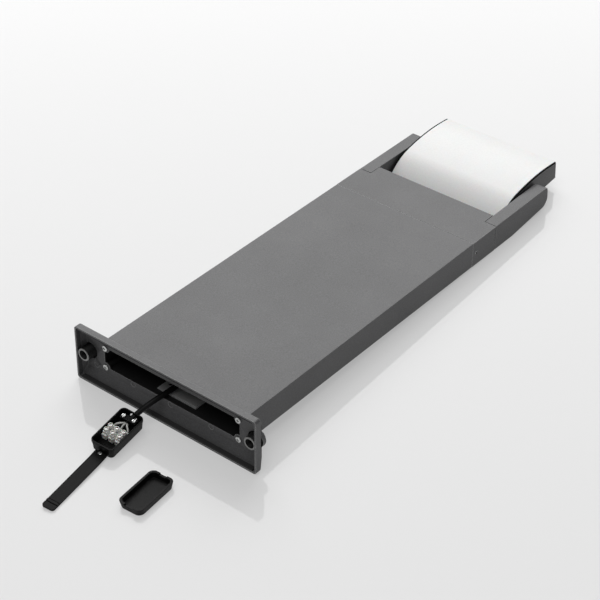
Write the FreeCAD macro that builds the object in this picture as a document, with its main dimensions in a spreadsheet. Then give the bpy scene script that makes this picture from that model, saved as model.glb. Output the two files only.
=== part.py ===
import FreeCAD, Part
import math
import os
import re

import Sketcher
from FreeCAD import Placement, Rotation, Vector

# A path luminaire with a tilting head, lying on its back with its supply box unpacked.
# The lamp is drawn straight in its own axes: x from the foot plane to the head, y to
# the left, z up from the underside of the post. One shared placement then leans it so
# that the foot's lower edge and the undersides of the arms touch the floor, z = 0.
# The lid lies on that floor too; the supply box and its strap rest on it with one corner
# each, because the stiff cable holds the box up.

doc = FreeCAD.newDocument("PathLuminaire")

DIMENSIONS = {
    "Post and foot": [
        ("post_width", 180, "width of the flat post"),
        ("post_thick", 30, "thickness of the post"),
        ("post_wall", 2.5, "wall of the extrusion"),
        ("post_edge", 0.8, "radius of the long edges"),
        ("foot_width", 227, "width of the cast foot"),
        ("foot_height", 62, "height of the cast foot"),
        ("foot_drop", 16.4, "foot's lower edge below the post"),
        ("foot_corner", 3, "corner radius of the foot"),
        ("rim_wall", 2, "wall of the foot's rim"),
        ("rim_depth", 7, "depth of the foot's straight rim"),
        ("seat_depth", 10.8, "foot plane to the screw seat"),
        ("seat_thick", 2, "thickness of the seat plate"),
        ("seat_margin", 4.5, "seat plate beyond the post, above and below"),
        ("seat_side", 3.5, "seat plate in from the foot's ends"),
        ("mouth_half", 85, "half width of the cable opening"),
        ("mouth_low", 3.8, "lower edge of the opening"),
        ("mouth_high", 27, "upper edge of the opening"),
        ("mouth_curve", 5.6, "radius of the lobes round the screws"),
        ("port_inset_y", 6, "screw port in from the post's side"),
        ("port_inset_z", 3.5, "screw port in from the post's face"),
        ("port_boss", 3.3, "radius of a screw port"),
        ("port_hole", 2.05, "radius of its hole"),
        ("seal_thick", 1.4, "thickness of the foot seal"),
        ("seal_depth", 5, "depth of the foot seal"),
    ],
    "Levelling sleeves": [
        ("sleeve_half_pitch", 104, "sleeve axis from the middle"),
        ("boss_radius", 9.3, "outer radius of the sleeve boss"),
        ("boss_end", 15.5, "foot plane to the end of the boss"),
        ("sleeve_radius", 7.2, "outer radius of a sleeve"),
        ("sleeve_bore", 4.2, "radius of the anchor bolt's hole"),
        ("sleeve_length", 15, "length of a sleeve"),
        ("sleeve_left_out", 0.6, "left sleeve's mouth from the foot plane"),
        ("sleeve_right_out", 2.6, "right sleeve's mouth from the foot plane"),
        ("running_gap", 0.05, "radial gap of a pin or thread in its hole"),
    ],
    "Collar and arms": [
        ("seam_at", 379, "foot plane to the post's joint with the collar"),
        ("seam_gap", 0.4, "open joint line"),
        ("collar_end", 421, "end of the collar at the arms"),
        ("tongue_end", 439.2, "end of the middle tongue"),
        ("collar_wall", 3, "wall of the collar"),
        ("arm_thick", 14.5, "thickness of an arm"),
        ("arm_gap", 0.4, "joint line round an arm"),
        ("arm_end", 524.3, "furthest corner of an arm, low"),
        ("arm_top_end", 521.6, "furthest corner of an arm, high"),
        ("arm_belly", 455, "where the underside starts to rise"),
        ("arm_rise", 7.4, "rise of the underside at the end"),
        ("arm_nose", 11, "radius of the lower end"),
        ("arm_brow", 4.5, "radius of the upper end"),
        ("set_screw_at", 386, "foot plane to the set screws"),
        ("joiner_from", 360, "start of the inner joiner"),
        ("joiner_to", 396, "end of the inner joiner"),
    ],
    "Head": [
        ("pivot_x", 504, "foot plane to the pivot"),
        ("pivot_z", 16, "pivot above the post's underside"),
        ("head_tilt", 5.6, "tilt of the head from closed, degrees"),
        ("head_half", 73.5, "half width over the cheeks"),
        ("cheek_thick", 2, "thickness of a cheek"),
        ("gasket_thick", 1.4, "thickness of the diffuser gasket"),
        ("shell_thick", 2, "thickness of the opal diffuser"),
        ("head_floor", 8.2, "underside of the head, closed"),
        ("floor_thick", 2.5, "thickness of the head's floor"),
        ("nose_x", 564.5, "front of the head, closed"),
        ("nose_top", 29.6, "top of the front wall, closed"),
        ("nose_wall", 1.8, "thickness of the front wall"),
        ("crown_x", 487, "where the crown meets the back curve"),
        ("crown_z", 32.9, "height there"),
        ("crown_radius", 230, "radius of the crown"),
        ("back_x", 450.5, "rearmost point of the head"),
        ("back_z", 13, "height there"),
        ("back_radius", 58, "radius of the back curve"),
        ("heel_x", 456.5, "rear edge of the head's floor"),
        ("pin_radius", 4, "radius of a pivot pin"),
    ],
    "Inside the post": [
        ("tray_from", 18.6, "front edge of the carrier tray"),
        ("tray_to", 205, "back edge of the carrier tray"),
        ("tray_half", 24.5, "half width of the carrier tray"),
        ("tray_thick", 1.5, "sheet of the carrier tray"),
        ("driver_from", 66, "front of the driver"),
        ("driver_length", 120, "length of the driver"),
        ("driver_half", 19, "half width of the driver"),
        ("driver_high", 17, "height of the driver"),
    ],
    "Supply box": [
        ("box_length", 50.3, "length of the box"),
        ("box_width", 26.5, "width of the box"),
        ("box_high", 12.5, "height of the box"),
        ("box_corner", 5, "corner radius of the box"),
        ("box_draft", 0.8, "how far the walls lean in at the bottom"),
        ("box_wall", 1.4, "wall of the box at the brim"),
        ("box_band", 0.4, "how far the band under the brim stands out"),
        ("box_x", -42.8, "box centre from the foot's lower edge"),
        ("box_y", 18.6, "box centre to the left"),
        ("box_lift", 3.7, "middle of the box's underside above the floor"),
        ("box_turn", 4.2, "turn of the box, degrees"),
        ("box_pitch", -5, "pitch of the box, held up by its cable, degrees"),
        ("box_roll", 5.5, "roll of the box, degrees"),
        ("cable_radius", 2.75, "radius of the supply cable"),
        ("cable_entry", 6.9, "cable axis above the box's underside"),
        ("lid_length", 51, "length of the lid"),
        ("lid_width", 27.6, "width of the lid"),
        ("lid_high", 7.5, "height of the lid"),
        ("lid_corner", 7, "corner radius of the lid"),
        ("lid_x", -81.6, "lid centre from the foot's lower edge"),
        ("lid_y", -53.5, "lid centre to the right"),
        ("lid_turn", 3.5, "turn of the lid, degrees"),
        ("strap_width", 13.4, "width of the pull strap"),
        ("strap_thick", 1.8, "thickness of the pull strap"),
        ("strap_length", 80.3, "pull strap from its screw to its free end"),
        ("strap_slope", 0.074, "rise of the strap against the box, per millimetre"),
        ("strap_turn", 2.9, "turn of the strap against the box, degrees"),
        ("strap_y", -0.9, "strap screw from the box's middle line"),
    ],
    "Frame": [
        ("origin_from_foot", 282.85, "middle of the lamp from the foot's lower edge"),
    ],
}

sheet = doc.addObject("Spreadsheet::Sheet", "dims")
row = 0
for group, entries in DIMENSIONS.items():
    row += 1
    sheet.set(f"A{row}", group)
    for alias, value, note in entries:
        row += 1
        sheet.set(f"A{row}", note)
        sheet.set(f"B{row}", str(value))
        sheet.setAlias(f"B{row}", alias)
doc.recompute()


def ex(text):
    """An expression in the sheet's aliases, which all hold an underscore."""
    return re.sub(r"[a-z]+(?:_[a-z]+)+", lambda found: "dims." + found.group(), str(text))


def val(text):
    return float(sheet.evalExpression(ex(text)))


# ---------------------------------------------------------------- document helpers


def body(name):
    return doc.addObject("PartDesign::Body", name)


def sketch(owner, plane, offset="0"):
    """A sketch on one of the body's own origin planes, moved along +x, +y or +z."""
    base = next(f for f in owner.Origin.OriginFeatures if f.Role == plane)
    made = owner.newObject("Sketcher::SketchObject", owner.Name + "_sketch")
    made.AttachmentSupport = (base, [""])
    made.MapMode = "FlatFace"
    sign = "-" if plane == "XZ_Plane" else ""
    made.setExpression("AttachmentOffset.Base.z", f"{sign}({ex(offset)})")
    return made


def pin_point(sk, geometry, end, u, v):
    """Ties one point of the sketch to the origin by two expressions."""
    for kind, axis, text in (("DistanceX", -2, u), ("DistanceY", -1, v)):
        value = val(text)
        if abs(value) < 1e-9:
            sk.addConstraint(Sketcher.Constraint("PointOnObject", geometry, end, axis))
            continue
        index = sk.addConstraint(Sketcher.Constraint(kind, -1, 1, geometry, end, value))
        sk.setExpression(f"Constraints[{index}]", ex(text))


def outline(sk, points):
    """A closed loop. (u, v) ends a straight run and (u, v, r) an arc of radius r, which
    bulges to the right of the way along for r > 0 and to the left for r < 0."""
    ends = []
    spots = [Vector(val(p[0]), val(p[1]), 0) for p in points]
    for i, point in enumerate(points):
        start, stop = spots[i - 1], spots[i]
        if len(point) == 2:
            n = sk.addGeometry(Part.LineSegment(start, stop), False)
            ends.append((n, 1, 2))
            continue
        radius = val(point[2])
        run = stop - start
        left = Vector(-run.y, run.x, 0).normalize() * math.copysign(1, radius)
        reach = math.sqrt(radius**2 - (run.Length / 2) ** 2)
        centre = (start + stop) / 2 + left * reach
        first, last = (start, stop) if radius > 0 else (stop, start)
        angles = [math.atan2(p.y - centre.y, p.x - centre.x) for p in (first, last)]
        circle = Part.Circle(centre, Vector(0, 0, 1), abs(radius))
        n = sk.addGeometry(Part.ArcOfCircle(circle, *angles), False)
        index = sk.addConstraint(Sketcher.Constraint("Radius", n, abs(radius)))
        sk.setExpression(f"Constraints[{index}]", f"abs({ex(point[2])})")
        ends.append((n, 1, 2) if radius > 0 else (n, 2, 1))
    for i, (n, start_end, stop_end) in enumerate(ends):
        following = ends[(i + 1) % len(ends)]
        sk.addConstraint(Sketcher.Constraint("Coincident", n, stop_end, following[0], following[1]))
        pin_point(sk, n, stop_end, points[i][0], points[i][1])


def circles(sk, spots, radius):
    for u, v in spots:
        circle = Part.Circle(Vector(val(u), val(v), 0), Vector(0, 0, 1), val(radius))
        n = sk.addGeometry(circle, False)
        index = sk.addConstraint(Sketcher.Constraint("Radius", n, val(radius)))
        sk.setExpression(f"Constraints[{index}]", ex(radius))
        pin_point(sk, n, 3, u, v)


def rounded(u0, v0, u1, v1, r):
    """A rectangle with round corners, for outline()."""
    u0, v0, u1, v1, r = (f"({text})" for text in (u0, v0, u1, v1, r))
    return [
        (f"{u1}-{r}", v0), (u1, f"{v0}+{r}", r), (u1, f"{v1}-{r}"), (f"{u1}-{r}", v1, r),
        (f"{u0}+{r}", v1), (u0, f"{v1}-{r}", r), (u0, f"{v0}+{r}"), (f"{u0}+{r}", v0, r),
    ]


def rectangle(u0, v0, u1, v1):
    return [(u1, v0), (u1, v1), (u0, v1), (u0, v0)]


def extrude(owner, sk, length, cut=False, taper=None):
    """A Pad or Pocket towards +x, +y or +z. A Pocket has to take something away."""
    before = owner.Shape.Volume if owner.Shape.Solids else 0
    kind = "PartDesign::Pocket" if cut else "PartDesign::Pad"
    made = owner.newObject(kind, owner.Name + ("_pocket" if cut else "_pad"))
    made.Profile = sk
    made.setExpression("Length", ex(length))
    towards_minus_y = sk.AttachmentSupport[0][0].Role == "XZ_Plane"
    made.Reversed = towards_minus_y != cut
    if taper is not None:
        made.setExpression("TaperAngle", ex(taper))
    doc.recompute()
    if cut and not owner.Shape.Volume < before - 1e-6:
        raise RuntimeError(f"{made.Name} removes nothing")
    return made


def pad(owner, plane, offset, length, *loops):
    sk = sketch(owner, plane, offset)
    for loop in loops:
        outline(sk, loop)
    return extrude(owner, sk, length)


def pocket(owner, plane, offset, length, *loops):
    sk = sketch(owner, plane, offset)
    for loop in loops:
        outline(sk, loop)
    return extrude(owner, sk, length, cut=True)


def drill(owner, plane, offset, length, spots, radius):
    sk = sketch(owner, plane, offset)
    circles(sk, spots, radius)
    return extrude(owner, sk, length, cut=True)


def studs(owner, plane, offset, length, spots, radius):
    sk = sketch(owner, plane, offset)
    circles(sk, spots, radius)
    return extrude(owner, sk, length)


def place(made, x, y, z, turn=Rotation()):
    made.Placement = Placement(Vector(), turn)
    for axis, text in zip("xyz", (x, y, z)):
        made.setExpression(f"Placement.Base.{axis}", ex(text))
    return made


def block(name, x, y, z, length, width, height):
    made = doc.addObject("Part::Box", name)
    for prop, text in (("Length", length), ("Width", width), ("Height", height)):
        made.setExpression(prop, ex(text))
    return place(made, x, y, z)


TURNS = {
    "x": Rotation(Vector(0, 1, 0), 90),
    "y": Rotation(Vector(1, 0, 0), -90),
    "z": Rotation(),
}


def rod(name, axis, x, y, z, radius, length):
    made = doc.addObject("Part::Cylinder", name)
    made.setExpression("Radius", ex(radius))
    made.setExpression("Height", ex(length))
    return place(made, x, y, z, TURNS[axis])


def fuse(name, *pieces):
    made = doc.addObject("Part::MultiFuse", name)
    made.Shapes = list(pieces)
    return made


def cut(name, base, *tools):
    made = doc.addObject("Part::Cut", name)
    made.Base = base
    made.Tool = tools[0] if len(tools) == 1 else fuse(name + "_tools", *tools)
    return made


def group(name, pieces):
    made = doc.addObject("Part::Compound", name)
    made.Links = list(pieces)
    return made


def screw(name, axis, x, y, z, head_radius, head_high, radius, length):
    """A screw whose shank starts under its head and runs towards +axis."""
    spot = dict(zip("xyz", (x, y, z)))
    head_at = dict(spot)
    head_at[axis] = f"{spot[axis]}-({head_high})"
    head = rod(name + "_head", axis, *head_at.values(), head_radius, head_high)
    shank = rod(name + "_shank", axis, *spot.values(), radius, length)
    return fuse(name, head, shank)


# ---------------------------------------------------------------- where things stand

LEAN = math.degrees(math.atan(val("foot_drop/(arm_belly-rim_depth)")))
lean_turn = Rotation(Vector(0, 1, 0), LEAN)
foot_edge = lean_turn.multVec(Vector(0, 0, -val("foot_drop")))
foot_heel = lean_turn.multVec(Vector(val("rim_depth"), 0, -val("foot_drop")))
LAMP = Placement(Vector(-val("origin_from_foot") - foot_edge.x, 0, -foot_heel.z), lean_turn)
pivot = Vector(val("pivot_x"), 0, val("pivot_z"))
HEAD = LAMP * Placement(Vector(), Rotation(Vector(0, 1, 0), -val("head_tilt")), pivot)


def on_floor(x, y, turn, lift="0", pitch="0", roll="0"):
    spot = Vector(val(x) - val("origin_from_foot"), val(y), val(lift))
    return Placement(spot, Rotation(val(turn), val(pitch), val(roll)))


BOX = on_floor("box_x", "box_y", "box_turn", "box_lift", "box_pitch", "box_roll")
STRAP_TURN = Rotation(Vector(0, 0, 1), val("strap_turn"))
STRAP = BOX * Placement(Vector(-val("box_length") / 2 - 2, val("strap_y"), 0), STRAP_TURN)
LID = on_floor("lid_x", "lid_y", "lid_turn")

parts = {}


def node(name, made, placement):
    if made.TypeId in ("Part::Box", "Part::Cylinder"):
        made = group(name + "_placed", [made])
    made.Label = name
    made.Placement = placement * made.Placement
    parts[name] = made


# ---------------------------------------------------------------- foot

FOOT_LOW, FOOT_TOP = "0-foot_drop", "foot_height-foot_drop"
PORT_SPOTS = [
    (f"{side}(post_width/2-port_inset_y)", z)
    for side in ("", "0-")
    for z in ("port_inset_z", "post_thick-port_inset_z")
]
AXIS_Z = "(foot_height/2-foot_drop)"


def foot_rectangle(inset, corner):
    half = f"(foot_width/2-{inset})"
    return rounded(f"0-{half}", f"({FOOT_LOW}+{inset})", half, f"({FOOT_TOP}-{inset})", corner)


def seat_rectangle(inset, corner):
    half = f"(foot_width/2-seat_side-{inset})"
    low = f"(0-seat_margin-seat_thick+{inset})"
    high = f"(post_thick+seat_margin+seat_thick-{inset})"
    return rounded(f"0-{half}", low, half, high, corner)


def loft(owner, sketches, cut_away=False):
    kind = "PartDesign::SubtractiveLoft" if cut_away else "PartDesign::AdditiveLoft"
    made = owner.newObject(kind, owner.Name + "_loft")
    made.Profile = sketches[0]
    made.Sections = sketches[1:]
    made.Ruled = True
    doc.recompute()


def foot_skirt(owner, near, far, rim_inset, seat_inset, corner, cut_away):
    """The sloping skirt between the straight rim and the seat plate."""
    first = sketch(owner, "YZ_Plane", near)
    outline(first, foot_rectangle(rim_inset, corner))
    second = sketch(owner, "YZ_Plane", far)
    outline(second, seat_rectangle(seat_inset, corner))
    loft(owner, [first, second], cut_away)


def base_casting():
    """A tray-shaped casting: thin rim, sloping skirt, seat plate against the post."""
    foot = body("base_casting")
    pad(foot, "YZ_Plane", "0", "rim_depth", foot_rectangle("0", "foot_corner"))
    foot_skirt(foot, "rim_depth", "seat_depth+seat_thick", "0", "0", "foot_corner", False)
    studs(foot, "YZ_Plane", "seat_depth", "boss_end-seat_depth",
          [("sleeve_half_pitch", AXIS_Z), ("0-sleeve_half_pitch", AXIS_Z)], "boss_radius")
    pocket(foot, "YZ_Plane", "0", "rim_depth-1.5", foot_rectangle("rim_wall", "foot_corner-1.5"))
    foot_skirt(foot, "rim_depth-1.5", "seat_depth", "rim_wall", "rim_wall", "foot_corner-1.5", True)
    inner, lobe = "mouth_half-6.6", "5.2"
    mouth = [
        (inner, "mouth_low"), ("mouth_half", f"mouth_low+{lobe}", "0-mouth_curve"),
        ("mouth_half", f"mouth_high-{lobe}"), (inner, "mouth_high", "0-mouth_curve"),
        (f"0-({inner})", "mouth_high"), ("0-mouth_half", f"mouth_high-{lobe}", "0-mouth_curve"),
        ("0-mouth_half", f"mouth_low+{lobe}"), (f"0-({inner})", "mouth_low", "0-mouth_curve"),
    ]
    pocket(foot, "YZ_Plane", "seat_depth-1", "seat_thick+2", mouth)
    drill(foot, "YZ_Plane", "seat_depth-1", "seat_thick+2", PORT_SPOTS, "port_hole+0.15")
    sleeve_spots = [("sleeve_half_pitch", AXIS_Z), ("0-sleeve_half_pitch", AXIS_Z)]
    drill(foot, "YZ_Plane", "seat_depth", "2.2", sleeve_spots, "boss_radius-0.8")
    drill(foot, "YZ_Plane", "1", "boss_end", sleeve_spots, "sleeve_radius+running_gap")
    node("base_casting", foot, LAMP)


def base_seal():
    """Rubber strips along the inside of the rim's long walls."""
    half = "(foot_width/2-rim_wall-3)"
    low, high = f"({FOOT_LOW}+rim_wall)", f"({FOOT_TOP}-rim_wall)"
    seal = body("base_seal")
    pad(seal, "YZ_Plane", "0.4", "seal_depth",
        rectangle(f"0-{half}", low, half, f"{low}+seal_thick"))
    upper = body("base_seal_upper")
    pad(upper, "YZ_Plane", "0.4", "seal_depth",
        rectangle(f"0-{half}", f"{high}-seal_thick", half, high))
    node("base_seal", group("base_seals", [seal, upper]), LAMP)


def levelling_sleeves():
    """Threaded bushes that set the lamp plumb; an anchor bolt runs through each."""
    for side, sign in (("left", ""), ("right", "0-")):
        name = f"levelling_sleeve_{side}"
        sleeve = body(name)
        mouth = f"sleeve_{side}_out"
        spot = [(f"{sign}sleeve_half_pitch", AXIS_Z)]
        studs(sleeve, "YZ_Plane", mouth, "sleeve_length", spot, "sleeve_radius")
        drill(sleeve, "YZ_Plane", f"{mouth}-1", "sleeve_length+2", spot, "sleeve_bore")
        node(name, sleeve, LAMP)


def base_screws():
    screws = [
        screw(f"base_screw_{i}", "x", "seat_depth", y, z, "3.4", "1.2", "port_hole-running_gap", "16")
        for i, (y, z) in enumerate(PORT_SPOTS)
    ]
    node("base_screws", group("base_screws", screws), LAMP)


# ---------------------------------------------------------------- post and its inside


def post_section(inset, corner):
    half = f"(post_width/2-{inset})"
    return rounded(f"0-{half}", inset, half, f"(post_thick-{inset})", corner)


def post_extrusion():
    post = body("post_extrusion")
    start, run = "seat_depth+seat_thick", "seam_at-seat_depth-seat_thick"
    pad(post, "YZ_Plane", start, run, post_section("0", "post_edge"), post_section("post_wall", "0.5"))
    studs(post, "YZ_Plane", start, run, PORT_SPOTS, "port_boss")
    drill(post, "YZ_Plane", f"{start}-1", f"{run}+2", PORT_SPOTS, "port_hole")
    node("post_extrusion", post, LAMP)


TRAY_TOP = "(post_wall+tray_thick)"


def carrier_tray():
    """A sheet-metal tray, slid into the post, that carries the driver."""
    tray = body("carrier_tray")
    pad(tray, "XY_Plane", "post_wall", "tray_thick",
        rectangle("tray_from", "0-tray_half", "tray_to", "tray_half"))
    drill(tray, "XY_Plane", "post_wall-1", "tray_thick+2", [("30.5", "18.5")], "1.8")
    node("carrier_tray", tray, LAMP)


def rating_plate():
    """A blank plate on the tray's front edge."""
    plate = block("rating_plate", "tray_from+1.6", "0-tray_half+1.5", TRAY_TOP, "11", "28", "0.4")
    node("rating_plate", plate, LAMP)


def led_driver():
    driver = body("led_driver")
    pad(driver, "XY_Plane", TRAY_TOP, "driver_high",
        rounded("driver_from", "0-driver_half", "driver_from+driver_length", "driver_half", "1.5"))
    node("led_driver", driver, LAMP)
    lugs = []
    screws = []
    for i, x in enumerate(("driver_from+driver_length", "driver_from+driver_length")):
        side = "12" if i else "0-12-8"
        lug = block(f"driver_lug_{i}", x, side, TRAY_TOP, "9", "8", "2")
        middle = "16" if i else "0-16"
        hole = rod(f"driver_lug_hole_{i}", "z", f"{x}+4.5", middle, f"{TRAY_TOP}-1", "1.7", "4")
        lugs.append(cut(f"driver_lug_cut_{i}", lug, hole))
        head = rod(f"driver_screw_head_{i}", "z", f"{x}+4.5", middle, f"{TRAY_TOP}+2", "2.8", "1.8")
        shank = rod(f"driver_screw_shank_{i}", "z", f"{x}+4.5", middle, TRAY_TOP, "1.6", "2")
        screws.append(fuse(f"driver_screw_{i}", head, shank))
    node("driver_lugs", group("driver_lugs", lugs), LAMP)
    node("driver_screws", group("driver_screws", screws), LAMP)


CABLE_Y, CABLE_Z = "8.5", f"({TRAY_TOP}+cable_radius+1.4)"


def cable_clamp():
    """A saddle that holds the supply cable to the tray."""
    saddle = block("clamp_saddle", "44", f"{CABLE_Y}-11", TRAY_TOP, "7", "22", "8.9")
    bore = rod("clamp_bore", "x", "43", CABLE_Y, CABLE_Z, "cable_radius+0.1", "9")
    slots = [block(f"clamp_relief_{i}", "43", y, f"{TRAY_TOP}+2.6", "9", "5.6", "8")
             for i, y in enumerate((f"{CABLE_Y}-11.2", f"{CABLE_Y}+5.6"))]
    holes = [rod(f"clamp_hole_{i}", "z", "47.5", y, f"{TRAY_TOP}-1", "1.7", "5")
             for i, y in enumerate((f"{CABLE_Y}-8.2", f"{CABLE_Y}+8.2"))]
    node("cable_clamp", cut("cable_clamp", saddle, bore, *slots, *holes), LAMP)
    screws = []
    for i, y in enumerate((f"{CABLE_Y}-8.2", f"{CABLE_Y}+8.2")):
        head = rod(f"clamp_screw_head_{i}", "z", "47.5", y, f"{TRAY_TOP}+2.6", "2.6", "1.8")
        shank = rod(f"clamp_screw_shank_{i}", "z", "47.5", y, TRAY_TOP, "1.6", "2.6")
        screws.append(fuse(f"clamp_screw_{i}", head, shank))
    node("cable_clamp_screws", group("cable_clamp_screws", screws), LAMP)


# ---------------------------------------------------------------- collar and arms


def joiner_block():
    """The inner frame that the post and the collar are both pushed over."""
    joiner = body("joiner_block")
    post_half = "(post_width/2-port_inset_y-port_boss-0.6)"
    inner = "(post_wall+0.15)"
    window = rectangle("0-62", "7", "62", "post_thick-7")
    pad(joiner, "YZ_Plane", "joiner_from", "seam_at-joiner_from",
        rectangle(f"0-{post_half}", inner, post_half, f"post_thick-{inner}"), window)
    collar_half = "(post_width/2-collar_wall-0.1)"
    pad(joiner, "YZ_Plane", "seam_at", "joiner_to-seam_at",
        rectangle(f"0-{collar_half}", "collar_wall+0.1", collar_half,
                  "post_thick-collar_wall-0.1"), window)
    for side, sign in (("left", "1"), ("right", "-1")):
        at = "post_width/2-collar_wall-7" if sign == "1" else "0-post_width/2+collar_wall-1"
        drill(joiner, "XZ_Plane", at, "8", [("set_screw_at", "post_thick/2")], "1.65")
    node("joiner_block", joiner, LAMP)


INNER_ARM = "(post_width/2-arm_thick)"
ARM_SCREWS = [(f"{side}(post_width/2-arm_thick/2)", z) for side in ("", "0-") for z in ("8", "22")]


def collar():
    """The cap of the post: a hollow block whose middle tongue runs on between the arms."""
    cap = body("collar")
    tongue = f"({INNER_ARM}-arm_gap)"
    pad(cap, "XY_Plane", "0", "post_thick", [
        ("collar_end", "0-post_width/2"), ("collar_end", f"0-{tongue}"),
        ("tongue_end", f"0-{tongue}"), ("tongue_end", tongue), ("collar_end", tongue),
        ("collar_end", "post_width/2"), ("seam_at+seam_gap", "post_width/2"),
        ("seam_at+seam_gap", "0-post_width/2"),
    ])
    half = "(post_width/2-collar_wall)"
    pocket(cap, "YZ_Plane", "seam_at", "collar_end-seam_at-collar_wall",
           rectangle(f"0-{half}", "collar_wall", half, "post_thick-collar_wall"))
    inner = f"({tongue}-collar_wall)"
    pocket(cap, "YZ_Plane", "collar_end-collar_wall-1", "tongue_end-collar_end+1",
           rectangle(f"0-{inner}", "collar_wall", inner, "post_thick-collar_wall"))
    drill(cap, "YZ_Plane", "tongue_end-collar_wall-1", "collar_wall+2", [("0", "post_thick/2")], "4")
    drill(cap, "YZ_Plane", "collar_end-collar_wall-1", "collar_wall+2", ARM_SCREWS, "2.15")
    for at in ("post_width/2-collar_wall-1", "0-post_width/2-1"):
        drill(cap, "XZ_Plane", at, "collar_wall+2", [("set_screw_at", "post_thick/2")], "2.05")
    node("collar", cap, LAMP)


def collar_set_screws():
    screws = []
    for i, (start, hole) in enumerate((
        ("0-post_width/2+0.4", "7.5"), ("post_width/2-0.4-7.5", "7.5"),
    )):
        pin = rod(f"set_screw_{i}", "y", "set_screw_at", start, "post_thick/2", "1.6", hole)
        collar_side = "0-post_width/2+0.4" if i == 0 else "post_width/2-0.4-2.4"
        head = rod(f"set_screw_head_{i}", "y", "set_screw_at", collar_side, "post_thick/2", "2", "2.4")
        screws.append(fuse(f"set_screw_whole_{i}", pin, head))
    node("collar_set_screws", group("collar_set_screws", screws), LAMP)


def head_grommet():
    ring = rod("grommet_ring", "x", "tongue_end-collar_wall-1.2", "0", "post_thick/2",
               "3.95", "collar_wall+1.2")
    flange = rod("grommet_flange", "x", "tongue_end-collar_wall-1.2", "0", "post_thick/2",
                 "5.5", "1.2")
    bore = rod("grommet_bore", "x", "tongue_end-collar_wall-3", "0", "post_thick/2", "2.1", "10")
    node("head_grommet", cut("head_grommet", fuse("grommet_outer", ring, flange), bore), LAMP)


def rounded_corner(before, corner, after, radius):
    """Two points that cut a corner with a tangent arc, as numbers for outline()."""
    b, c, a = (Vector(val(p[0]), val(p[1]), 0) for p in (before, corner, after))
    back, on = (b - c).normalize(), (a - c).normalize()
    trim = val(radius) / math.tan(back.getAngle(on) / 2)
    first, last = c + back * trim, c + on * trim
    return [(first.x, first.y), (last.x, last.y, radius)]


def arms():
    heel, belly = ("collar_end+arm_gap", "0"), ("arm_belly", "0")
    low, high = ("arm_end", "arm_rise"), ("arm_top_end", "post_thick")
    top = ("collar_end+arm_gap", "post_thick")
    shape = [heel, belly]
    shape += rounded_corner(belly, low, high, "arm_nose")
    shape += rounded_corner(low, high, top, "arm_brow")
    shape += [top]
    for side, sign in (("left", 1), ("right", -1)):
        arm = body(f"arm_{side}")
        inner = INNER_ARM if sign > 0 else "0-post_width/2"
        pad(arm, "XZ_Plane", inner, "arm_thick", shape)
        socket = f"{INNER_ARM}-1" if sign > 0 else f"0-{INNER_ARM}-arm_thick+2.8"
        drill(arm, "XZ_Plane", socket, "arm_thick-2.8+1", [("pivot_x", "pivot_z")],
              "pin_radius+running_gap")
        spots = ARM_SCREWS[:2] if sign > 0 else ARM_SCREWS[2:]
        drill(arm, "YZ_Plane", "collar_end", "16", spots, "2.05")
        node(f"arm_{side}", arm, LAMP)


def arm_screws():
    screws = [
        screw(f"arm_screw_{i}", "x", "collar_end-collar_wall", y, z, "2.9", "2.4", "2", "16")
        for i, (y, z) in enumerate(ARM_SCREWS)
    ]
    node("arm_screws", group("arm_screws", screws), LAMP)


def pivots():
    """A shouldered pin in each arm, with a fibre washer that holds the head by friction."""
    cheek_inner = "(head_half-cheek_thick)"
    for side, sign in (("left", 1), ("right", -1)):
        pin_from = f"{cheek_inner}-1.5" if sign > 0 else "0-post_width/2+3"
        pin_run = f"post_width/2-3-({cheek_inner}-1.5)"
        shank = rod(f"pin_{side}", "y", "pivot_x", pin_from, "pivot_z", "pin_radius", pin_run)
        head_from = f"{cheek_inner}-1.5" if sign > 0 else f"0-({cheek_inner}-1.5)-1.2"
        head = rod(f"pin_head_{side}", "y", "pivot_x", head_from, "pivot_z", "pin_radius+1", "1.2")
        node(f"pivot_pin_{side}", fuse(f"pivot_pin_{side}", shank, head), LAMP)
        start = "head_half+0.3" if sign > 0 else f"0-{INNER_ARM}"
        run = f"{INNER_ARM}-head_half-0.3"
        disc = rod(f"washer_disc_{side}", "y", "pivot_x", start, "pivot_z", "8", run)
        hole = rod(f"washer_hole_{side}", "y", "pivot_x", f"{start}-1", "pivot_z",
                   "pin_radius+running_gap", f"{run}+2")
        node(f"friction_washer_{side}", cut(f"friction_washer_{side}", disc, hole), LAMP)


# ---------------------------------------------------------------- head, drawn closed


def shell_outline():
    """The opal sheet in side view: crown and back curve, and the same one sheet further in."""
    front = "(nose_x-0.4)"
    return [
        (front, "nose_top+0.2"),
        ("crown_x", "crown_z", "crown_radius"),
        ("back_x", "back_z", "back_radius"),
        ("back_x+shell_thick", "back_z-1.2"),
        ("crown_x+0.3", "crown_z-shell_thick", "0-(back_radius-shell_thick)"),
        (front, "nose_top+0.2-shell_thick", "0-(crown_radius-shell_thick)"),
    ]


def cheek_outline():
    """The head's side view, one sheet lower where the opal sheet lies on the cheek."""
    under = "(shell_thick+0.05)"
    return [
        ("nose_x", "head_floor"), ("nose_x", f"nose_top+0.1-{under}"),
        ("crown_x+0.3", f"crown_z-{under}", "crown_radius-shell_thick"),
        (f"back_x+{under}", "back_z-1.25", "back_radius-shell_thick"), ("heel_x", "head_floor"),
    ]


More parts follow.
